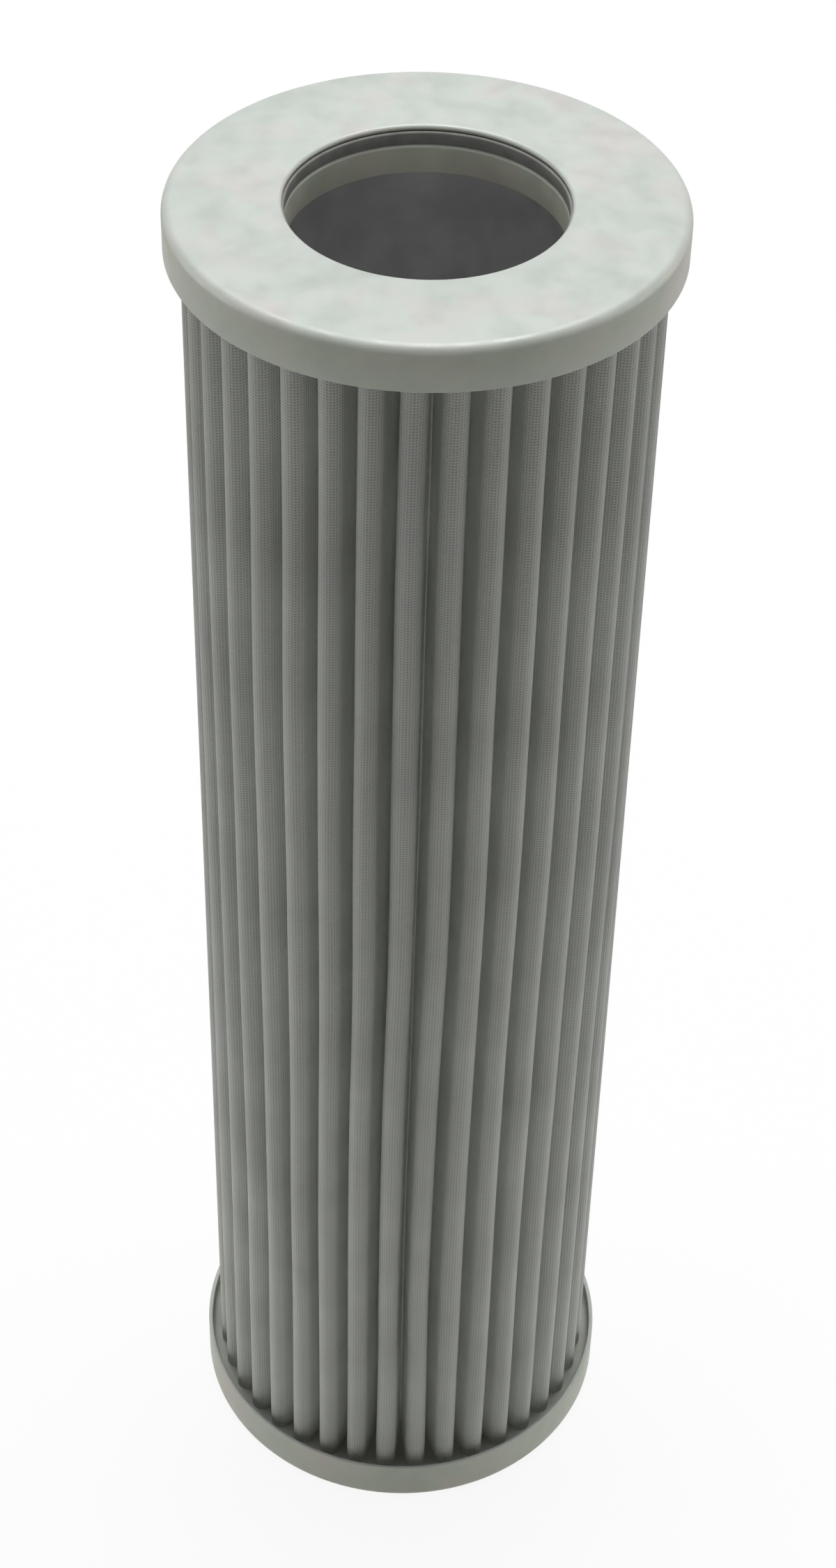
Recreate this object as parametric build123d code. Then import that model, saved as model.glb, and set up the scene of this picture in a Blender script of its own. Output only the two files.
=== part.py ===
from build123d import *
from math import asin, atan2, cos, degrees, hypot, pi, radians, sin
import os

# A pleated filter element for hydraulic oil, in millimetres. It stands on its closed end cap,
# with the axis along Z and the origin at the middle of the underside.

# Overall size
element_height = 267.5
cap_radius = 39.0

# End caps, pressed from sheet
cap_sheet = 0.8
shoulder_radius = 1.5
top_skirt_height = 7.4
bottom_skirt_height = 9.0
top_hole_clearance = 0.3

# Seal carrier, a stepped ring pressed from sheet under the hole of the top cap. Its collar
# guides the spigot of the filter head
collar_radius = 21.0
collar_depth = 3.9
carrier_sheet = 0.8

# Seal ring, cut from a rubber tube, with a flat section that stands a little proud of the collar
seal_width = 3.1
seal_thickness = 2.2
seal_proud = 0.2
seal_seat_clearance = 0.1

# Support tube, rolled from perforated sheet
tube_sheet = 1.0
tube_collar_clearance = 0.2
slot_width = 8.0
slot_height = 56.0
slot_columns = 6
slot_bridge = 20.0
slot_end_margin = 18.0

# Pleat pack: a web of three sheets folded together, whose ridges stop short of the skirts,
# with as many pleats as the fold gap lets round the tube
pack_skirt_gap = 1.7
pack_tube_clearance = 0.3
fold_gap = 0.3
pleat_turn = 2.0
outer_mesh_sheet = 0.5
medium_sheet = 0.9
inner_mesh_sheet = 0.5
ridge_half_gap = 0.1
valley_half_gap = 0.15

# Side seam, where the two ends of the folded web are bonded together
seam_depth = 4.0

# Bonding compound that fills each cap and holds the ends of the pack
bottom_bond_depth = 5.0
bond_clearance = 0.05

# Bends are drawn as flats between creases. A fold wider than this radius has four creases,
# and a tighter one has two
tight_fold_radius = 1.0
wide_fold_creases = 4
tight_fold_creases = 2
shoulder_creases = 3

# Sizes that follow from the ones above
plate_underside = element_height - cap_sheet
skirt_inner_radius = cap_radius - cap_sheet
top_hole_radius = collar_radius + top_hole_clearance
seal_inner_radius = collar_radius - seal_proud
seal_outer_radius = seal_inner_radius + seal_width
seat_radius = seal_outer_radius + seal_seat_clearance
ledge_top = plate_underside - seal_seat_clearance - seal_thickness
ledge_underside = ledge_top - carrier_sheet
carrier_radius = seat_radius + carrier_sheet
collar_outer_radius = collar_radius + carrier_sheet
tube_inner_radius = collar_outer_radius + tube_collar_clearance
tube_outer_radius = tube_inner_radius + tube_sheet
pack_bottom = cap_sheet + bottom_bond_depth
pack_height = ledge_underside - pack_bottom
pack_radius = skirt_inner_radius - pack_skirt_gap
pack_inner_radius = tube_outer_radius + pack_tube_clearance
web_sheet = outer_mesh_sheet + medium_sheet + inner_mesh_sheet
ridge_centre_radius = pack_radius - ridge_half_gap - web_sheet
valley_centre_radius = pack_inner_radius + valley_half_gap + web_sheet
fold_width = 2 * (valley_half_gap + web_sheet)
pleat_count = int(2 * pi * valley_centre_radius / (fold_width + fold_gap))
half_pleat = 180.0 / pleat_count

# Each ridge and each valley turns about its own centre, and the leg between them is the
# straight line that touches both
centre_rise = ridge_centre_radius - valley_centre_radius * cos(radians(half_pleat))
centre_run = valley_centre_radius * sin(radians(half_pleat))
fold_reach = ridge_half_gap + valley_half_gap + web_sheet
leg_lean = degrees(asin(fold_reach / hypot(centre_rise, centre_run)) - atan2(centre_run, centre_rise))
ridge_turn = 180.0 + 2 * leg_lean
valley_turn = ridge_turn - 2 * half_pleat
seam_angle = 90.0 + pleat_turn


def at_angle(radius, angle):
    """Point at a distance from the axis and an angle about it, seen from above."""
    return Vector(radius * cos(radians(angle)), radius * sin(radians(angle)))


def ring(points):
    """Solid of revolution about Z from (radius, height) points."""
    return revolve(Plane.XZ * make_face(Polyline(*points, close=True)), Axis.Z)


def bend(centre, radius, facing, turn, count):
    """Creases of one bend, whose flats touch a circle about its centre. A negative turn runs
    clockwise."""
    step = turn / count
    reach = radius / cos(radians(step / 2))
    angles = [facing - turn / 2 + step * (number + 0.5) for number in range(count)]
    return [centre + at_angle(reach, angle) for angle in angles]


def fold(centre, radius, facing, turn):
    """Creases of one fold of the web."""
    count = wide_fold_creases if radius > tight_fold_radius else tight_fold_creases
    return bend(centre, radius, facing, turn, count)


def seam_leg(gap, side, rise=0):
    """Point on one of the two legs that meet at the side seam, so far from the middle of the
    seam's fold, and so far outwards from where that fold would begin."""
    normal = seam_angle + side * (180.0 - valley_turn / 2)
    foot = at_angle(valley_centre_radius, seam_angle) + at_angle(gap, normal)
    return foot + at_angle(rise, normal - side * 90.0)


def web_surface(depth):
    """Points of the folded surface that lies this deep below the web's outer face."""
    ridge_radius = ridge_half_gap + web_sheet - depth
    valley_radius = valley_half_gap + depth
    points = [seam_leg(valley_radius, 1)]
    for number in range(pleat_count):
        ridge_angle = seam_angle + half_pleat * (2 * number + 1)
        ridge_centre = at_angle(ridge_centre_radius, ridge_angle)
        points += fold(ridge_centre, ridge_radius, ridge_angle, ridge_turn)
        if number < pleat_count - 1:
            valley_angle = ridge_angle + half_pleat
            valley_centre = at_angle(valley_centre_radius, valley_angle)
            points += fold(valley_centre, valley_radius, valley_angle + 180.0, -valley_turn)
    return [*points, seam_leg(valley_radius, -1)]


def web_layer(outer_depth, sheet):
    """One sheet of the pleat pack, as an open folded band whose ends meet at the seam."""
    outer = web_surface(outer_depth)
    inner = web_surface(outer_depth + sheet)
    section = make_face(Polyline(*outer, *reversed(inner), close=True))
    return Pos(0, 0, pack_bottom) * extrude(section, pack_height)


def make_side_seam():
    """Wedge of adhesive between the two ends of the web."""
    corners = [
        seam_leg(valley_half_gap, 1),
        seam_leg(valley_half_gap, 1, seam_depth),
        seam_leg(valley_half_gap, -1, seam_depth),
        seam_leg(valley_half_gap, -1),
    ]
    section = make_face(Polyline(*corners, close=True))
    return Pos(0, 0, pack_bottom) * extrude(section, pack_height)


def pressed_cap(inner_radius, skirt_height):
    """Cap with its plate on z = 0 and its skirt upwards, bent round at the outer shoulder."""
    shoulder_centre = Vector(cap_radius - shoulder_radius, shoulder_radius)
    return ring([
        (inner_radius, 0),
        *bend(shoulder_centre, shoulder_radius, -45.0, 90.0, shoulder_creases),
        (cap_radius, skirt_height),
        (skirt_inner_radius, skirt_height),
        (skirt_inner_radius, cap_sheet),
        (inner_radius, cap_sheet),
    ])


def make_top_end_cap():
    """Cap with the hole for the spigot, its skirt hanging down over the pack."""
    cap = pressed_cap(top_hole_radius, top_skirt_height)
    return Pos(0, 0, element_height) * Rot(X=180) * cap


def make_bottom_end_cap():
    """Closed cap that the element stands on."""
    return pressed_cap(0, bottom_skirt_height)


def make_seal_carrier():
    """Stepped ring: a seat wall, a ledge under the seal and a collar that guides the spigot."""
    collar_end = ledge_underside - collar_depth
    return ring([
        (seat_radius, plate_underside),
        (carrier_radius, plate_underside),
        (carrier_radius, ledge_underside),
        (collar_outer_radius, ledge_underside),
        (collar_outer_radius, collar_end),
        (collar_radius, collar_end),
        (collar_radius, ledge_top),
        (seat_radius, ledge_top),
    ])


def make_seal_ring():
    """Ring that lies on the ledge and grips the spigot, a little proud of the collar."""
    seal_top = ledge_top + seal_thickness
    return ring([
        (seal_inner_radius, ledge_top),
        (seal_outer_radius, ledge_top),
        (seal_outer_radius, seal_top),
        (seal_inner_radius, seal_top),
    ])


def make_support_tube():
    """Perforated tube that the pack leans on, from the closed cap up to the ledge."""
    height = ledge_underside - cap_sheet
    slot_pitch = slot_height + slot_bridge
    rows = int((height - 2 * slot_end_margin + slot_bridge) / slot_pitch)
    shell = Cylinder(tube_outer_radius, height) - Cylinder(tube_inner_radius, height)
    one_side = (Align.MIN, Align.CENTER, Align.CENTER)
    punch = Box(2 * tube_outer_radius, slot_width, slot_height, align=one_side)
    punches = []
    for row in range(rows):
        level = (row - (rows - 1) / 2) * slot_pitch
        for column in range(slot_columns):
            punches.append(Pos(0, 0, level) * Rot(Z=360.0 * column / slot_columns) * punch)
    return Pos(0, 0, cap_sheet + height / 2) * (shell - punches)


def bond_ring(inner_radius, low, high):
    """Bonding compound inside a cap, between a round inner wall and the skirt."""
    return ring([
        (inner_radius + bond_clearance, low),
        (skirt_inner_radius - bond_clearance, low),
        (skirt_inner_radius - bond_clearance, high),
        (inner_radius + bond_clearance, high),
    ])


pieces = {
    "top_end_cap": make_top_end_cap(),
    "bottom_end_cap": make_bottom_end_cap(),
    "seal_carrier": make_seal_carrier(),
    "seal_ring": make_seal_ring(),
    "support_tube": make_support_tube(),
    "outer_mesh": web_layer(0, outer_mesh_sheet),
    "filter_medium": web_layer(outer_mesh_sheet, medium_sheet),
    "inner_mesh": web_layer(outer_mesh_sheet + medium_sheet, inner_mesh_sheet),
    "side_seam": make_side_seam(),
    "top_bond": bond_ring(carrier_radius, ledge_underside, plate_underside),
    "bottom_bond": bond_ring(tube_outer_radius, cap_sheet, pack_bottom),
}

os.makedirs("parts", exist_ok=True)
for name, piece in pieces.items():
    export_step(piece, f"parts/{name}.step")
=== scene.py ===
import bpy
import bmesh
from math import asin, atan2, cos, degrees, hypot, pi, radians, sin
from mathutils import Euler, Matrix, Vector, noise


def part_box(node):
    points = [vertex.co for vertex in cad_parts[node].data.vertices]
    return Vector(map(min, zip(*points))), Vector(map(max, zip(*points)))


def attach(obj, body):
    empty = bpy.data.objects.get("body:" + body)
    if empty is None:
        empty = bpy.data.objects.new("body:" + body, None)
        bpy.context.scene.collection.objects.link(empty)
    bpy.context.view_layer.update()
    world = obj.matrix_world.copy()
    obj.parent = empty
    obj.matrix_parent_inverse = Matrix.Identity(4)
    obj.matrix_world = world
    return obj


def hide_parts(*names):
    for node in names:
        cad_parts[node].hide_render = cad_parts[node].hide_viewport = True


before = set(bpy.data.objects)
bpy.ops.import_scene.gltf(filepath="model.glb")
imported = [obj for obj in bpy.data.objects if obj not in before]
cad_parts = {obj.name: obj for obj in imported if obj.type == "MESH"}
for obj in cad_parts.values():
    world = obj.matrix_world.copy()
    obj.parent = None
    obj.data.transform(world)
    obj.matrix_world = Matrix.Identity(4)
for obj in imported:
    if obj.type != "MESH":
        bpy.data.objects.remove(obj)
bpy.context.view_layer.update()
mm = 0.001

# Places read from the frame, in millimetres
topCapLow, topCapHigh = [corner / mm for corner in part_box("top_end_cap")]
bottomCapLow, bottomCapHigh = [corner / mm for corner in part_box("bottom_end_cap")]
carrierLow, carrierHigh = [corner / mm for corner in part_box("seal_carrier")]
sealLow, sealHigh = [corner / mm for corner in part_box("seal_ring")]
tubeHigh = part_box("support_tube")[1] / mm
packLow, packHigh = [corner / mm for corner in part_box("outer_mesh")]
bondLow, bondHigh = [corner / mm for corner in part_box("bottom_bond")]
capRadius = topCapHigh.x
capSheet = 0.8               # thickness of the pressed sheet in mm
roundSteps = 192             # faces round each turned piece
sameMm = 0.01                # places nearer than this many mm are one place
weld = 0.000001              # points nearer than this many m are merged
roundedAngle = 50            # edges that turn by more degrees than this get a small rounding
smoothAngle = 35             # and edges that turn by less are shaded smooth


# ---- small helpers

def deselectAll():
    if bpy.context.object and bpy.context.object.mode == "EDIT":
        bpy.ops.object.mode_set(mode="OBJECT")
    bpy.ops.object.select_all(action="DESELECT")


def useObject(piece):
    deselectAll()
    piece.select_set(True)
    bpy.context.view_layer.objects.active = piece


def pickEdges(piece, test):
    # leaves only the edges selected whose two ends pass the test, given in millimetres
    bpy.ops.mesh.select_mode(type="EDGE")
    bpy.ops.mesh.select_all(action="DESELECT")
    mesh = bmesh.from_edit_mesh(piece.data)
    for edge in mesh.edges:
        ends = [vertex.co / mm for vertex in edge.verts]
        if test(*ends):
            edge.select_set(True)
    mesh.select_flush_mode()
    bmesh.update_edit_mesh(piece.data)


def pickRing(piece, radius, height):
    # leaves only the edges selected that run round the axis at this radius and height
    def onRing(end):
        return abs(end.z - height) < sameMm and abs(end.xy.length - radius) < sameMm
    pickEdges(piece, lambda a, b: onRing(a) and onRing(b))


def addModifier(piece, kind, **settings):
    modifier = piece.modifiers.new(kind.title(), kind)
    for key, value in settings.items():
        setattr(modifier, key, value)
    bpy.ops.object.modifier_apply(modifier=modifier.name)


def turnRings(name, rings, closeEnd=False):
    # a round sheet drawn ring by ring: each ring is a radius, a height and how far its edge is rounded
    deselectAll()
    radius, height = rings[0][:2]
    bpy.ops.mesh.primitive_circle_add(vertices=roundSteps, radius=radius * mm, location=(0, 0, height * mm))
    piece = bpy.context.object
    piece.name = name
    bpy.ops.object.transform_apply(location=True, rotation=True, scale=True)
    bpy.ops.object.mode_set(mode="EDIT")
    bpy.ops.mesh.select_all(action="SELECT")
    for ring in rings[1:]:
        nextRadius, nextHeight = ring[:2]
        rise = (0, 0, (nextHeight - height) * mm)
        bpy.ops.mesh.extrude_edges_move(TRANSFORM_OT_translate={"value": rise})
        ratio = nextRadius / radius
        bpy.ops.transform.resize(value=(ratio, ratio, 1), center_override=(0, 0, 0))
        radius, height = nextRadius, nextHeight
    if closeEnd:
        bpy.ops.mesh.edge_face_add()
    for radius, height, rounding in rings:
        if rounding:
            pickRing(piece, radius, height)
            bpy.ops.mesh.bevel(offset=rounding * mm, segments=8, profile=0.5)
    bpy.ops.object.mode_set(mode="OBJECT")
    return piece


def giveThickness(piece, thickness):
    # the sheet grows away from the side that its faces point to
    useObject(piece)
    addModifier(piece, "SOLIDIFY", thickness=thickness * mm, offset=-1, use_even_offset=True)


def softenEdges(piece, width, segments=2):
    useObject(piece)
    addModifier(piece, "BEVEL", width=width * mm, segments=segments, limit_method="ANGLE",
                angle_limit=radians(roundedAngle))
    # where two roundings meet they leave strips of no width
    bpy.ops.object.mode_set(mode="EDIT")
    bpy.ops.mesh.select_all(action="SELECT")
    bpy.ops.mesh.remove_doubles(threshold=weld)
    bpy.ops.object.mode_set(mode="OBJECT")


def closeSection(piece):
    # merges the last ring with the first, so that the section is closed, and turns its faces outwards
    useObject(piece)
    bpy.ops.object.mode_set(mode="EDIT")
    bpy.ops.mesh.select_all(action="SELECT")
    bpy.ops.mesh.remove_doubles(threshold=weld)
    bpy.ops.mesh.normals_make_consistent(inside=False)
    bpy.ops.object.mode_set(mode="OBJECT")


def faceOutwards(piece, outsidePoint):
    # makes the open sheet's faces point to the side where this point lies
    useObject(piece)
    bpy.ops.object.mode_set(mode="EDIT")
    bpy.ops.mesh.select_all(action="SELECT")
    bpy.ops.mesh.remove_doubles(threshold=weld)
    bpy.ops.mesh.normals_make_consistent(inside=False)
    mesh = bmesh.from_edit_mesh(piece.data)
    target = Vector(outsidePoint) * mm
    nearest = min(mesh.faces, key=lambda face: (face.calc_center_median() - target).length)
    if nearest.normal.dot(target - nearest.calc_center_median()) < 0:
        bpy.ops.mesh.flip_normals()
    bpy.ops.object.mode_set(mode="OBJECT")


def finishPiece(piece, node, material):
    useObject(piece)
    bpy.ops.object.shade_smooth_by_angle(angle=radians(smoothAngle))
    piece.data.materials.clear()
    piece.data.materials.append(material)
    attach(piece, "root")
    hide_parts(node)


# ---- materials

def linear(hexCode):
    # sRGB hex to the linear colour that the shaders use
    parts = [int(hexCode[i:i + 2], 16) / 255 for i in (1, 3, 5)]
    return [part / 12.92 if part <= 0.04045 else ((part + 0.055) / 1.055) ** 2.4 for part in parts] + [1]


def newMaterial(name):
    material = bpy.data.materials.new(name)
    material.use_nodes = True
    return material, material.node_tree, material.node_tree.nodes["Principled BSDF"]


def addNode(tree, kind, settings=None, **inputs):
    # adds a node, sets its properties, and sets or links its inputs, given by name or by number as i0, i1
    node = tree.nodes.new(kind)
    for key, value in (settings or {}).items():
        setattr(node, key, value)
    for key, value in inputs.items():
        socket = node.inputs[int(key[1:])] if key[0] == "i" and key[1:].isdigit() else node.inputs[key]
        if isinstance(value, bpy.types.NodeSocket):
            tree.links.new(value, socket)
        else:
            socket.default_value = value
    return node


def setRamp(ramp, stops):
    elements = ramp.color_ramp.elements
    while len(elements) > len(stops):
        elements.remove(elements[-1])
    while len(elements) < len(stops):
        elements.new(1)
    for element, (place, colour) in zip(elements, stops):
        element.position = place
        element.color = colour


zincPlate = {
    "pale": "#b5bbb5",       # the clean coat, a faint green grey
    "warm": "#b9b8b5",       # where the passivation has dried pinkish
    "dull": "#afb5af",
    "runs": "#f9f5e4",       # passivation that has run down the skirts and dried a little yellow, which also darkens the skirts a little as painted shade
    "stain": 0.7,            # how much of that shows on upright faces, which so come out a little darker than the top: partly painted shade
    "metallic": 0.1,
    "roughness": 0.48,
    "patch": 11.0,           # size of the colour patches in mm
    "cloud": 4.783,          # size of the lighter and darker clouds in mm
    "cloudLow": 0.96,        # brightness of the dark clouds and of the light ones
    "cloudHigh": 1.03,
    "smoother": 0.08,        # how much smoother the dark clouds are, and how much duller the light ones
    "duller": 0.1,
    "grain": 0.35,           # size of the rolled sheet's fine grain in mm
    "grainSpread": 0.08,     # how much the grain changes the roughness
    "mark": (0.15, 9, 3),    # size of the handling marks in mm along X, Y and Z
    "markTurn": (0.3, 0.2, 0.6),    # how the noise behind them is turned, in radians
    "markDepth": 0.12,
    "relief": 0.05,          # depth of the grain in mm
}


def makeZincPlate(name, brightness):
    # dull zinc-plated mild steel, pressed from rolled sheet: a pale grey with soft cloudy patches; a
    # brightness above 1 gives a copy with painted light
    material, tree, shader = newMaterial(name)
    place = addNode(tree, "ShaderNodeTexCoord").outputs["Object"]
    patches = addNode(tree, "ShaderNodeTexNoise", Vector=place, Scale=1 / (zincPlate["patch"] * mm),
                      Detail=3.0, Roughness=0.6)
    clouds = addNode(tree, "ShaderNodeTexNoise", Vector=place, Scale=1 / (zincPlate["cloud"] * mm),
                     Detail=2.0, Roughness=0.5).outputs["Fac"]
    grain = addNode(tree, "ShaderNodeTexNoise", Vector=place, Scale=1 / (zincPlate["grain"] * mm),
                    Detail=2.0).outputs["Fac"]

    # colour: patches, clouds, and on upright faces a yellow stain that is partly painted shade
    colourRamp = addNode(tree, "ShaderNodeValToRGB", Fac=patches.outputs["Fac"])
    setRamp(colourRamp, [(0.36, linear(zincPlate["warm"])), (0.5, linear(zincPlate["pale"])),
                         (0.66, linear(zincPlate["dull"]))])
    shade = addNode(tree, "ShaderNodeMapRange", Value=clouds, **{
        "From Min": 0.35, "From Max": 0.65,
        "To Min": zincPlate["cloudLow"] * brightness, "To Max": zincPlate["cloudHigh"] * brightness})
    mottle = addNode(tree, "ShaderNodeMix", {"data_type": "RGBA", "blend_type": "MULTIPLY"},
                     i0=1.0, i6=colourRamp.outputs["Color"], i7=shade.outputs["Result"])
    # upright faces are tinted yellower and a little darker than flat ones: a real run stain together with
    # painted shade
    normal = addNode(tree, "ShaderNodeNewGeometry").outputs["Normal"]
    facing = addNode(tree, "ShaderNodeSeparateXYZ", Vector=normal).outputs["Z"]
    level = addNode(tree, "ShaderNodeMath", {"operation": "ABSOLUTE"}, i0=facing).outputs[0]
    side = addNode(tree, "ShaderNodeMapRange", Value=level, **{"To Min": zincPlate["stain"], "To Max": 0.0})
    stainedAndShaded = addNode(tree, "ShaderNodeMix", {"data_type": "RGBA", "blend_type": "MULTIPLY"},
                      i0=side.outputs["Result"], i6=mottle.outputs[2], i7=linear(zincPlate["runs"]))
    tree.links.new(stainedAndShaded.outputs[2], shader.inputs["Base Color"])

    # finish: fine grain, duller clouds, and long thin marks from handling
    rough = addNode(tree, "ShaderNodeMapRange", Value=grain, **{
        "To Min": zincPlate["roughness"] - zincPlate["grainSpread"],
        "To Max": zincPlate["roughness"] + zincPlate["grainSpread"]})
    dulled = addNode(tree, "ShaderNodeMapRange", Value=clouds, **{
        "From Min": 0.35, "From Max": 0.65, "To Min": -zincPlate["smoother"], "To Max": zincPlate["duller"]})
    along = addNode(tree, "ShaderNodeMapping", Vector=place, Rotation=zincPlate["markTurn"],
                    Scale=[1 / (size * mm) for size in zincPlate["mark"]])
    marks = addNode(tree, "ShaderNodeTexNoise", Vector=along.outputs["Vector"], Scale=1.0, Detail=1.0)
    scratch = addNode(tree, "ShaderNodeMapRange", Value=marks.outputs["Fac"], **{
        "From Min": 0.68, "From Max": 0.76, "To Min": 0.0, "To Max": zincPlate["markDepth"]})
    roughness = addNode(tree, "ShaderNodeMath", {"operation": "ADD"}, i0=rough.outputs["Result"],
                        i1=dulled.outputs["Result"])
    marked = addNode(tree, "ShaderNodeMath", {"operation": "SUBTRACT"}, i0=roughness.outputs[0],
                     i1=scratch.outputs["Result"])
    tree.links.new(marked.outputs[0], shader.inputs["Roughness"])
    height = addNode(tree, "ShaderNodeMath", {"operation": "SUBTRACT"}, i0=grain,
                     i1=scratch.outputs["Result"])
    bump = addNode(tree, "ShaderNodeBump", Height=height.outputs[0], Strength=0.35,
                   Distance=zincPlate["relief"] * mm)
    tree.links.new(bump.outputs["Normal"], shader.inputs["Normal"])
    shader.inputs["Metallic"].default_value = zincPlate["metallic"]
    return material


wireCloth = {
    "wire": "#b6b8b2",
    "gap": "#8f918b",
    "valleyLight": 1.75,           # how much paler the cloth is painted deep in the folds: painted light for the valleys, which would otherwise come out too dark
    "valleyLightBelow": 30.0,      # radius in mm below which the painted light is full
    "valleyLightEndsAbove": 36.0,     # radius in mm above which no light is painted
    "stain": 18.0,           # size of the stains in mm
    "stainLow": 0.9,         # brightness of the stained places and of the others
    "stainHigh": 1.08,
    "pitch": 0.5,            # wire spacing in mm
    "relief": 0.15,          # how far the wires stand out in mm
    "metallic": 0.0,         # its dull coat and the dust on it hide the metal
    "roughness": 0.7,
}


def makeWireCloth():
    # plain weave of galvanised steel wire: crossing round wires with dark openings between them
    material, tree, shader = newMaterial("wovenWireCloth")
    place = addNode(tree, "ShaderNodeUVMap", {"uv_map": "unfolded"}).outputs["UV"]
    unfolded = addNode(tree, "ShaderNodeSeparateXYZ", Vector=place)
    wires = []
    for way in ("X", "Y"):
        angle = addNode(tree, "ShaderNodeMath", {"operation": "MULTIPLY"}, i0=unfolded.outputs[way],
                        i1=2 * pi / wireCloth["pitch"])
        wire = addNode(tree, "ShaderNodeMath", {"operation": "COSINE"}, i0=angle.outputs[0])
        wires.append(wire.outputs[0])
    higher = addNode(tree, "ShaderNodeMath", {"operation": "MAXIMUM"}, i0=wires[0], i1=wires[1])
    height = addNode(tree, "ShaderNodeMapRange", Value=higher.outputs[0], **{
        "From Min": -0.6, "From Max": 0.8})
    ramp = addNode(tree, "ShaderNodeValToRGB", Fac=height.outputs["Result"])
    setRamp(ramp, [(0.0, linear(wireCloth["gap"])), (0.7, linear(wireCloth["wire"]))])

    # stains, and the painted light that makes the cloth paler deep in the folds
    objectPlace = addNode(tree, "ShaderNodeTexCoord").outputs["Object"]
    stain = addNode(tree, "ShaderNodeTexNoise", Vector=objectPlace, Scale=1 / (wireCloth["stain"] * mm),
                    Detail=3.0)
    shade = addNode(tree, "ShaderNodeMapRange", Value=stain.outputs["Fac"], **{
        "From Min": 0.3, "From Max": 0.7, "To Min": wireCloth["stainLow"], "To Max": wireCloth["stainHigh"]})
    parts = addNode(tree, "ShaderNodeSeparateXYZ", Vector=objectPlace)
    flat = addNode(tree, "ShaderNodeCombineXYZ", X=parts.outputs["X"], Y=parts.outputs["Y"])
    radius = addNode(tree, "ShaderNodeVectorMath", {"operation": "LENGTH"}, i0=flat.outputs["Vector"])
    # painted light: the cloth is painted paler the nearer it lies to the axis, deep in the folds
    valleyLight = addNode(tree, "ShaderNodeMapRange", Value=radius.outputs["Value"], **{
        "From Min": wireCloth["valleyLightBelow"] * mm, "From Max": wireCloth["valleyLightEndsAbove"] * mm,
        "To Min": wireCloth["valleyLight"], "To Max": 1.0})
    level = addNode(tree, "ShaderNodeMath", {"operation": "MULTIPLY"}, i0=shade.outputs["Result"],
                    i1=valleyLight.outputs["Result"])
    tint = addNode(tree, "ShaderNodeMix", {"data_type": "RGBA", "blend_type": "MULTIPLY"},
                   i0=1.0, i6=ramp.outputs["Color"], i7=level.outputs[0])
    tree.links.new(tint.outputs[2], shader.inputs["Base Color"])
    bump = addNode(tree, "ShaderNodeBump", Height=height.outputs["Result"], Strength=0.4,
                   Distance=wireCloth["relief"] * mm)
    tree.links.new(bump.outputs["Normal"], shader.inputs["Normal"])
    shader.inputs["Metallic"].default_value = wireCloth["metallic"]
    shader.inputs["Roughness"].default_value = wireCloth["roughness"]
    return material


plainFinishes = {
    # strip steel, rolled into a tube and left bare: a dull grey with a trace of shine
    "dullTubeSteel": {"light": "#c9c8ca", "dark": "#bab9bb", "cloud": 6.0, "metallic": 0.15,
                      "roughness": 0.5, "relief": 0.03},
    # moulded nitrile rubber: a soft dark grey, painted paler than bare nitrile as painted light for the back
    # of the bore
    "nitrileRubber": {"light": "#8c8c88", "dark": "#7c7c78", "cloud": 3.0, "metallic": 0.0,
                      "roughness": 0.55, "relief": 0.02},
    # filled epoxy, poured and set: an even grey with a slight gloss
    "bondingResin": {"light": "#bfc1ba", "dark": "#acaea7", "cloud": 8.0, "metallic": 0.0,
                     "roughness": 0.45, "relief": 0.05},
    # felted glass fibre between two fleeces: off-white and quite dull
    "glassFibreWeb": {"light": "#d9d7cc", "dark": "#c4c2b6", "cloud": 1.5, "metallic": 0.0,
                      "roughness": 0.9, "relief": 0.1},
}
plainGrain = 0.4             # size of the fine grain in mm


def makeCloudy(name):
    # a plain finish that drifts between two shades, with a fine grain
    finish = plainFinishes[name]
    material, tree, shader = newMaterial(name)
    place = addNode(tree, "ShaderNodeTexCoord").outputs["Object"]
    cloud = addNode(tree, "ShaderNodeTexNoise", Vector=place, Scale=1 / (finish["cloud"] * mm), Detail=4.0)
    ramp = addNode(tree, "ShaderNodeValToRGB", Fac=cloud.outputs["Fac"])
    setRamp(ramp, [(0.35, linear(finish["dark"])), (0.65, linear(finish["light"]))])
    tree.links.new(ramp.outputs["Color"], shader.inputs["Base Color"])
    grain = addNode(tree, "ShaderNodeTexNoise", Vector=place, Scale=1 / (plainGrain * mm), Detail=2.0)
    bump = addNode(tree, "ShaderNodeBump", Height=grain.outputs["Fac"], Strength=0.3,
                   Distance=finish["relief"] * mm)
    tree.links.new(bump.outputs["Normal"], shader.inputs["Normal"])
    shader.inputs["Metallic"].default_value = finish["metallic"]
    shader.inputs["Roughness"].default_value = finish["roughness"]
    return material


zincMaterial = makeZincPlate("zincPlatedSteel", 1.0)
paintedLightZincMaterial = makeZincPlate("zincPlateWithPaintedLight", 1.42)    # the bore's collar, painted 1.42 times brighter: painted light that stands in for the light falling into the bore
clothMaterial = makeWireCloth()
tubeMaterial = makeCloudy("dullTubeSteel")
rubberMaterial = makeCloudy("nitrileRubber")
resinMaterial = makeCloudy("bondingResin")
fibreMaterial = makeCloudy("glassFibreWeb")
print("materials made")


# ---- end caps

endCap = {
    "shoulder": 1.5,         # rounding where the flat turns into the skirt
    "holeRadius": 21.3,
    "holeRound": 0.6,        # rounding of the hole's rim
    "edge": 0.2,             # rounding of the other edges
    "middle": 2.0,           # radius of the small face that closes the bottom cap's centre
}


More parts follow.
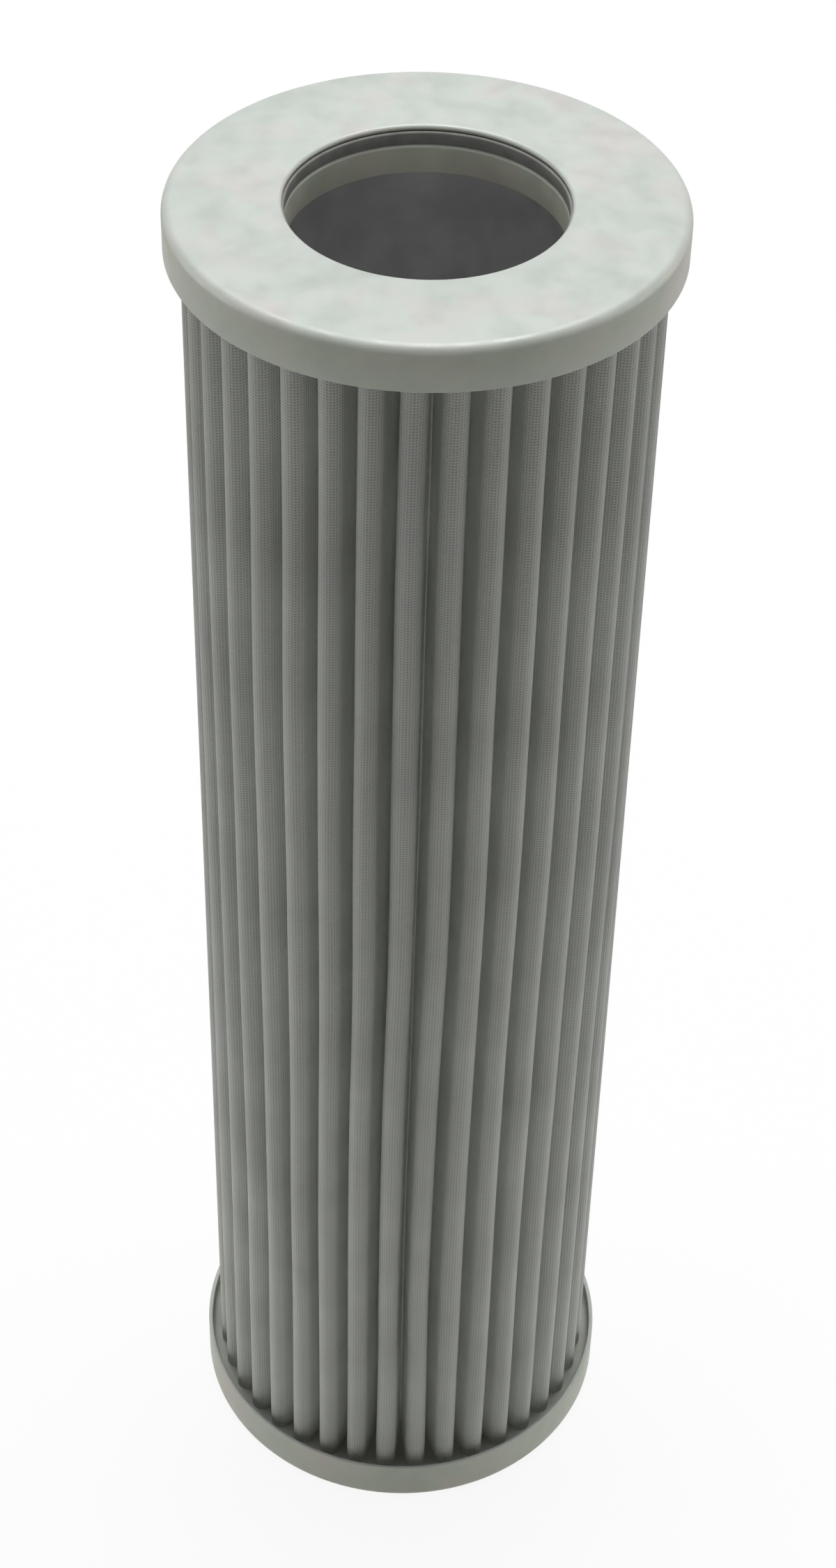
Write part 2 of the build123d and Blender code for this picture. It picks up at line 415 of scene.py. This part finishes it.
def makeTopCap():
    cap = turnRings("topEndCap", [
        (capRadius, topCapLow.z, 0),
        (capRadius, topCapHigh.z, endCap["shoulder"]),
        (endCap["holeRadius"], topCapHigh.z, 0),
    ])
    faceOutwards(cap, (0, 30, topCapHigh.z + 50))
    giveThickness(cap, capSheet)
    bpy.ops.object.mode_set(mode="EDIT")
    pickRing(cap, endCap["holeRadius"], topCapHigh.z)
    bpy.ops.mesh.bevel(offset=endCap["holeRound"] * mm, segments=5, profile=0.5)
    bpy.ops.object.mode_set(mode="OBJECT")
    softenEdges(cap, endCap["edge"])
    finishPiece(cap, "top_end_cap", zincMaterial)


def makeBottomCap():
    cap = turnRings("bottomEndCap", [
        (capRadius, bottomCapHigh.z, 0),
        (capRadius, bottomCapLow.z, endCap["shoulder"]),
        (capRadius / 2, bottomCapLow.z, 0),
        (endCap["middle"], bottomCapLow.z, 0),
    ], closeEnd=True)
    faceOutwards(cap, (0, 30, -50))
    giveThickness(cap, capSheet)
    softenEdges(cap, endCap["edge"])
    finishPiece(cap, "bottom_end_cap", zincMaterial)


makeTopCap()
makeBottomCap()
print("end caps made")


# ---- seal carrier and seal ring

sealSeat = {
    "sheet": 0.8,
    "collarRadius": 21.0,
    "bend": 0.6,             # rounding where the ledge turns down into the collar
    "corner": 0.3,           # rounding where the ledge meets its outer wall
    "edge": 0.15,            # rounding of the sheet's edges
    "sealBore": 21.0,        # as wide as the collar
    "sealEdge": 0.35,        # rounding of the seal's edges
}


def makeSealCarrier():
    ledge = sealLow.z
    seatRadius = carrierHigh.x - sealSeat["sheet"]
    carrier = turnRings("sealCarrier", [
        (seatRadius, carrierHigh.z, 0),
        (seatRadius, ledge, sealSeat["corner"]),
        (sealSeat["collarRadius"], ledge, sealSeat["bend"]),
        (sealSeat["collarRadius"], carrierLow.z, 0),
    ])
    faceOutwards(carrier, (0, (sealSeat["collarRadius"] + seatRadius) / 2, ledge + 1))
    giveThickness(carrier, sealSeat["sheet"])
    softenEdges(carrier, sealSeat["edge"])
    finishPiece(carrier, "seal_carrier", paintedLightZincMaterial)


def makeSealRing():
    # a closed section, so it is turned all the way round back to its first ring
    seal = turnRings("sealRing", [
        (sealSeat["sealBore"], sealLow.z, 0),
        (sealHigh.x, sealLow.z, 0),
        (sealHigh.x, sealHigh.z, 0),
        (sealSeat["sealBore"], sealHigh.z, 0),
        (sealSeat["sealBore"], sealLow.z, 0),
    ])
    closeSection(seal)
    softenEdges(seal, sealSeat["sealEdge"], segments=4)
    finishPiece(seal, "seal_ring", rubberMaterial)


makeSealCarrier()
makeSealRing()
print("seal made")


# ---- pleat pack

pack = {
    "pleats": 36,
    "turn": 2.0,             # degrees from +X to the first valley
    "seam": 92.0,            # degrees from +X to the valley where the web's ends meet
    "skirtGap": 1.7,         # from the ridges to the cap's skirt
    "tubeGap": 0.3,          # from the valleys to the tube
    "web": 1.9,              # thickness of the whole web
    "ridgeHalfGap": 0.1,     # half the gap between the two legs inside a ridge
    "valleyHalfGap": 0.15,   # half the gap between the two legs in front of a valley
    "rows": 30,              # steps up the height, so that the pleats can sway
    "lead": 1.1,             # degrees that the top of the pack is turned ahead
    "twist": -2.2,           # degrees that the foot of the pack lags behind its top
    "bunch": -3.0,           # degrees by which the pleats crowd together at the front of the foot
    "waver": 1.15,           # degrees of uneven sway
    "drift": (0.03, 0.008),  # the broad sway's changes per mm across the pack and up it
    "driftShare": 1.2,       # how much the broad sway counts
    "ripple": (0.09, 0.02),  # the small sway's changes per mm across the pack and up it
    "rippleShare": 0.6,      # how much the small sway counts
    "heldShare": 0.3,        # how much of the small sway is left at the two ends, which are bonded
}
# each layer lies this deep in the web and is this thick, and its folds are drawn in this many steps
outerCloth = {"depth": 0.0, "sheet": 0.5, "ridgeSteps": 8, "valleySteps": 3}
fibreWeb = {"depth": 0.5, "sheet": 0.9, "ridgeSteps": 4, "valleySteps": 3}
innerCloth = {"depth": 1.4, "sheet": 0.5, "ridgeSteps": 3, "valleySteps": 5}
packTop = packHigh.z
packFoot = packLow.z
packHeight = packTop - packFoot
halfPleat = 180 / pack["pleats"]
ridgeCentre = capRadius - capSheet - pack["skirtGap"] - pack["ridgeHalfGap"] - pack["web"]
valleyCentre = tubeHigh.x + pack["tubeGap"] + pack["valleyHalfGap"] + pack["web"]
rise = ridgeCentre - valleyCentre * cos(radians(halfPleat))
run = valleyCentre * sin(radians(halfPleat))
reach = pack["ridgeHalfGap"] + pack["valleyHalfGap"] + pack["web"]
legLean = degrees(asin(reach / hypot(rise, run)) - atan2(run, rise))


def swayPack(piece):
    # turns each point about the axis by a smooth amount, so every layer sways alike and none touches another
    driftAcross, driftUp = pack["drift"]
    rippleAcross, rippleUp = pack["ripple"]
    for vertex in piece.data.vertices:
        x, y, z = vertex.co / mm
        drop = (packTop - z) / packHeight
        fromFront = atan2(x, -y)
        free = 4 * drop * (1 - drop)    # 0 at both ends and 1 halfway
        drift = noise.noise(Vector((x * driftAcross, y * driftAcross, z * driftUp)))
        ripple = noise.noise(Vector((x * rippleAcross + 7, y * rippleAcross, z * rippleUp)))
        ripple *= pack["heldShare"] + (1 - pack["heldShare"]) * free
        angle = pack["lead"] + drop * (pack["twist"] + pack["bunch"] * sin(fromFront))
        angle += pack["waver"] * (pack["driftShare"] * free * drift + pack["rippleShare"] * ripple)
        vertex.co = Matrix.Rotation(radians(angle), 3, "Z") @ vertex.co


def unfoldUv(piece):
    # u is the way along the folded sheet and v the height, both in millimetres
    mesh = bmesh.new()
    mesh.from_mesh(piece.data)
    layer = mesh.loops.layers.uv.new("unfolded")
    low = min(vertex.co.z for vertex in mesh.verts)
    row = [vertex for vertex in mesh.verts if vertex.co.z - low < sameMm * mm]
    vertex = min([end for end in row if len(end.link_edges) == 2], key=lambda end: end.co.y)
    way = 0.0
    seen = {vertex}
    along = [(vertex.co.xy, way)]
    while len(seen) < len(row):
        others = [edge.other_vert(vertex) for edge in vertex.link_edges]
        following = [other for other in others if other in row and other not in seen][0]
        way += (following.co - vertex.co).length / mm
        vertex = following
        seen.add(vertex)
        along.append((vertex.co.xy, way))
    for face in mesh.faces:
        for loop in face.loops:
            place = loop.vert.co
            nearest = min(along, key=lambda entry: (entry[0] - place.xy).length)
            loop[layer].uv = (nearest[1], place.z / mm)
    mesh.to_mesh(piece.data)
    mesh.free()


def openSeam(piece, valleyRadius):
    # the web's two ends meet at the back, so that valley has no fold
    centre = Matrix.Rotation(radians(pack["seam"]), 3, "Z") @ Vector((valleyCentre, 0, 0))
    useObject(piece)
    bpy.ops.object.mode_set(mode="EDIT")
    bpy.ops.mesh.select_mode(type="FACE")
    bpy.ops.mesh.select_all(action="DESELECT")
    mesh = bmesh.from_edit_mesh(piece.data)
    for face in mesh.faces:
        far = [abs((vertex.co / mm - centre).xy.length - valleyRadius) for vertex in face.verts]
        if max(far) < 2 * sameMm:
            face.select_set(True)
    bmesh.update_edit_mesh(piece.data)
    bpy.ops.mesh.delete(type="FACE")
    bpy.ops.object.mode_set(mode="OBJECT")


def makeFoldedSheet(name, layer):
    # one leg is drawn flat, spun round both folds, mirrored to a pleat and copied round the axis
    ridgeRadius = pack["ridgeHalfGap"] + pack["web"] - layer["depth"]
    valleyRadius = pack["valleyHalfGap"] + layer["depth"]
    normal = Vector((-sin(radians(legLean)), cos(radians(legLean)), 0))
    ridge = Vector((ridgeCentre, 0, 0))
    valley = Vector((valleyCentre * cos(radians(halfPleat)), valleyCentre * sin(radians(halfPleat)), 0))
    outerEnd = ridge + normal * ridgeRadius
    innerEnd = valley - normal * valleyRadius
    middle = (outerEnd + innerEnd) / 2
    deselectAll()
    bpy.ops.mesh.primitive_plane_add(
        size=1, location=(middle.x * mm, middle.y * mm, (packFoot + packHeight / 2) * mm),
        rotation=(pi / 2, 0, radians(legLean)))
    leaf = bpy.context.object
    leaf.name = name
    leaf.scale = ((outerEnd - innerEnd).length * mm, packHeight * mm, 1)
    bpy.ops.object.transform_apply(location=True, rotation=True, scale=True)
    bpy.ops.object.mode_set(mode="EDIT")
    pickEdges(leaf, lambda a, b: abs(a.z - b.z) > 1)
    bpy.ops.mesh.subdivide(number_cuts=pack["rows"] - 1)
    pickEdges(leaf, lambda a, b: (a - outerEnd).xy.length < sameMm and (b - outerEnd).xy.length < sameMm)
    bpy.ops.mesh.spin(steps=layer["ridgeSteps"], angle=radians(90 + legLean), center=ridge * mm,
                      axis=(0, 0, 1))
    pickEdges(leaf, lambda a, b: (a - innerEnd).xy.length < sameMm and (b - innerEnd).xy.length < sameMm)
    bpy.ops.mesh.spin(steps=layer["valleySteps"], angle=radians(90 + legLean - halfPleat),
                      center=valley * mm, axis=(0, 0, 1))
    bpy.ops.object.mode_set(mode="OBJECT")
    addModifier(leaf, "MIRROR", use_axis=(False, True, False), merge_threshold=sameMm * mm)
    unfoldUv(leaf)
    bpy.ops.object.mode_set(mode="EDIT")
    bpy.ops.mesh.select_all(action="SELECT")
    bpy.ops.transform.rotate(value=-radians(pack["turn"] + halfPleat), orient_axis="Z",
                             center_override=(0, 0, 0))
    bpy.ops.mesh.spin(steps=pack["pleats"] - 1, dupli=True, angle=2 * pi * (1 - 1 / pack["pleats"]),
                      center=(0, 0, 0), axis=(0, 0, 1))
    bpy.ops.object.mode_set(mode="OBJECT")
    faceOutwards(leaf, (200, 0, packHeight / 2))
    openSeam(leaf, valleyRadius)
    giveThickness(leaf, layer["sheet"])
    swayPack(leaf)
    return leaf


def makePack():
    outer = makeFoldedSheet("outerWireCloth", outerCloth)
    finishPiece(outer, "outer_mesh", clothMaterial)
    web = makeFoldedSheet("filterWeb", fibreWeb)
    finishPiece(web, "filter_medium", fibreMaterial)
    inner = makeFoldedSheet("innerWireCloth", innerCloth)
    finishPiece(inner, "inner_mesh", clothMaterial)


seamResin = {
    "rows": 60,
    "sag": 0.03,             # how far its outer face draws in, as a share of its radius
    "change": 0.11,          # changes of that per mm up the seam
}


def makeSideSeam():
    # the solid's own wedge, cut into rows so that it follows the folds, with an uneven outer face
    deselectAll()
    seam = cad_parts["side_seam"].copy()
    seam.data = seam.data.copy()
    seam.name = "sideSeam"
    for key in list(seam.keys()):
        del seam[key]
    seam.parent = None
    bpy.context.scene.collection.objects.link(seam)
    useObject(seam)
    bpy.ops.object.mode_set(mode="EDIT")
    bpy.ops.mesh.select_all(action="SELECT")
    bpy.ops.mesh.remove_doubles(threshold=weld)
    bpy.ops.mesh.dissolve_limited(angle_limit=radians(1))
    for row in range(1, seamResin["rows"]):
        bpy.ops.mesh.select_all(action="SELECT")
        height = packFoot + packHeight * row / seamResin["rows"]
        bpy.ops.mesh.bisect(plane_co=(0, 0, height * mm), plane_no=(0, 0, 1))
    bpy.ops.object.mode_set(mode="OBJECT")
    outside = max(vertex.co.xy.length for vertex in seam.data.vertices)
    for vertex in seam.data.vertices:
        if vertex.co.xy.length > outside - mm:
            sag = 0.5 + 0.5 * noise.noise(Vector((0, 0, vertex.co.z / mm * seamResin["change"])))
            vertex.co.xy = vertex.co.xy * (1 - seamResin["sag"] * sag)
    swayPack(seam)
    finishPiece(seam, "side_seam", resinMaterial)


dishResin = {
    "bore": 23.05,           # where the resin ends at the tube
    "meniscus": [(0, 0.9), (0.25, 0.45), (0.7, 0.12), (1.4, 0)],    # in from the skirt, above the level
}


def makeBottomBond():
    # poured flat in the dish, with a meniscus where it wets the skirt
    bore, skirt = dishResin["bore"], bondHigh.x
    surface = [(skirt - inwards, bondHigh.z + above, 0) for inwards, above in dishResin["meniscus"]]
    bond = turnRings("bottomBond", [(bore, bondLow.z, 0), (skirt, bondLow.z, 0), *surface,
                                    (bore, bondHigh.z, 0), (bore, bondLow.z, 0)])
    closeSection(bond)
    finishPiece(bond, "bottom_bond", resinMaterial)


def dressNode(node, material):
    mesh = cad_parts[node].data
    mesh.materials.clear()
    mesh.materials.append(material)


makePack()
makeSideSeam()
makeBottomBond()
dressNode("support_tube", tubeMaterial)
dressNode("top_bond", resinMaterial)
print("pleat pack made")


# ---- floor, lamps and camera

stage = {
    "floorRadius": 0.4,      # in metres, as are the lamps' places
    "shadow": 0.1,           # how much of the part's shadow shows close to it
    "shadowRadius": 0.05,    # within this it shows in full, and from here it fades
    "gap": 0.0002,           # how far the paper lies below the part
    "paper": 0.95,           # how much light the paper gives back
    "paperFinish": 0.9,      # its roughness
    "fill": 0.08,            # strength of the light from all sides
    "aim": (0, 0, 0.15),     # what the lamps point at
}


def whiteWhereSeen(tree):
    # 1 for what the camera, a reflection or a refraction sees, and 0 for the light that falls on the part
    path = addNode(tree, "ShaderNodeLightPath").outputs
    seen = addNode(tree, "ShaderNodeMath", {"operation": "MAXIMUM"}, i0=path["Is Camera Ray"],
                   i1=path["Is Glossy Ray"])
    return addNode(tree, "ShaderNodeMath", {"operation": "MAXIMUM"}, i0=seen.outputs[0],
                   i1=path["Is Transmission Ray"]).outputs[0]


def makeFloor():
    # a round sheet of white paper that fades into the white round it
    deselectAll()
    bpy.ops.mesh.primitive_circle_add(vertices=96, radius=stage["floorRadius"], fill_type="NGON",
                                      location=(0, 0, -stage["gap"]))
    floor = bpy.context.object
    floor.name = "floor"
    material, tree, shader = newMaterial("whitePaper")
    shader.inputs["Base Color"].default_value = (stage["paper"], stage["paper"], stage["paper"], 1)
    shader.inputs["Roughness"].default_value = stage["paperFinish"]
    place = addNode(tree, "ShaderNodeNewGeometry").outputs["Position"]
    away = addNode(tree, "ShaderNodeVectorMath", {"operation": "LENGTH"}, i0=place).outputs["Value"]
    share = addNode(tree, "ShaderNodeMapRange", {"interpolation_type": "SMOOTHSTEP"}, Value=away, **{
        "From Min": stage["shadowRadius"], "From Max": stage["floorRadius"] * 0.9,
        "To Min": 1 - stage["shadow"], "To Max": 1.0})
    seen = addNode(tree, "ShaderNodeMath", {"operation": "MULTIPLY"}, i0=whiteWhereSeen(tree),
                   i1=share.outputs["Result"])
    white = addNode(tree, "ShaderNodeEmission", Color=(1, 1, 1, 1), Strength=1.0)
    mix = addNode(tree, "ShaderNodeMixShader", i0=seen.outputs[0], i1=shader.outputs[0], i2=white.outputs[0])
    tree.links.new(mix.outputs[0], tree.nodes["Material Output"].inputs["Surface"])
    floor.data.materials.append(material)


def makeWorld():
    world = bpy.data.worlds.new("studio")
    bpy.context.scene.world = world
    world.use_nodes = True
    tree = world.node_tree
    background = tree.nodes["Background"]
    background.inputs["Color"].default_value = (1, 1, 1, 1)
    background.inputs["Strength"].default_value = stage["fill"]
    white = addNode(tree, "ShaderNodeBackground", Color=(1, 1, 1, 1), Strength=1.0)
    mix = addNode(tree, "ShaderNodeMixShader", i0=whiteWhereSeen(tree), i1=background.outputs[0],
                  i2=white.outputs[0])
    tree.links.new(mix.outputs[0], tree.nodes["World Output"].inputs["Surface"])


lamps = {
    "above": {"place": (0.0, 0.3, 1.4), "size": 0.9, "power": 17.2},
    "leftSide": {"place": (-1.4, 0.12, 0.25), "size": 0.8, "power": 5.5},
    "rightSide": {"place": (1.4, 0.27, 0.25), "size": 0.8, "power": 5.8},
    "front": {"place": (0.0, -1.3, 0.45), "size": 0.5, "power": 1.3},
}


def makeLamps():
    for name, lamp in lamps.items():
        light = bpy.data.lights.new(name, "AREA")
        light.shape = "DISK"
        light.size = lamp["size"]
        light.energy = lamp["power"]
        lampObject = bpy.data.objects.new(name, light)
        bpy.context.scene.collection.objects.link(lampObject)
        lampObject.location = lamp["place"]
        aim = Vector(stage["aim"]) - Vector(lamp["place"])
        lampObject.rotation_euler = aim.to_track_quat("-Z", "Y").to_euler()


# its place and lens are in millimetres, and it turns down, aside and about its own line in degrees
camera = {
    "place": (0.0, -384.5, 497.5),
    "down": 41.892,
    "yaw": 0.115,
    "roll": 1.442,
    "lens": 69.05,
    "sensor": 36,
}


def makeCamera():
    data = bpy.data.cameras.new("camera")
    data.lens = camera["lens"]
    data.sensor_width = camera["sensor"]
    cameraObject = bpy.data.objects.new("camera", data)
    bpy.context.scene.collection.objects.link(cameraObject)
    cameraObject.location = [value * mm for value in camera["place"]]
    aim = Euler((radians(90 - camera["down"]), 0, radians(-camera["yaw"]))).to_matrix()
    cameraObject.rotation_euler = (aim @ Matrix.Rotation(radians(camera["roll"]), 3, "Z")).to_euler()
    bpy.context.scene.camera = cameraObject


makeFloor()
makeWorld()
makeLamps()
makeCamera()
bpy.context.scene.view_settings.view_transform = "Standard"
print("stage made")
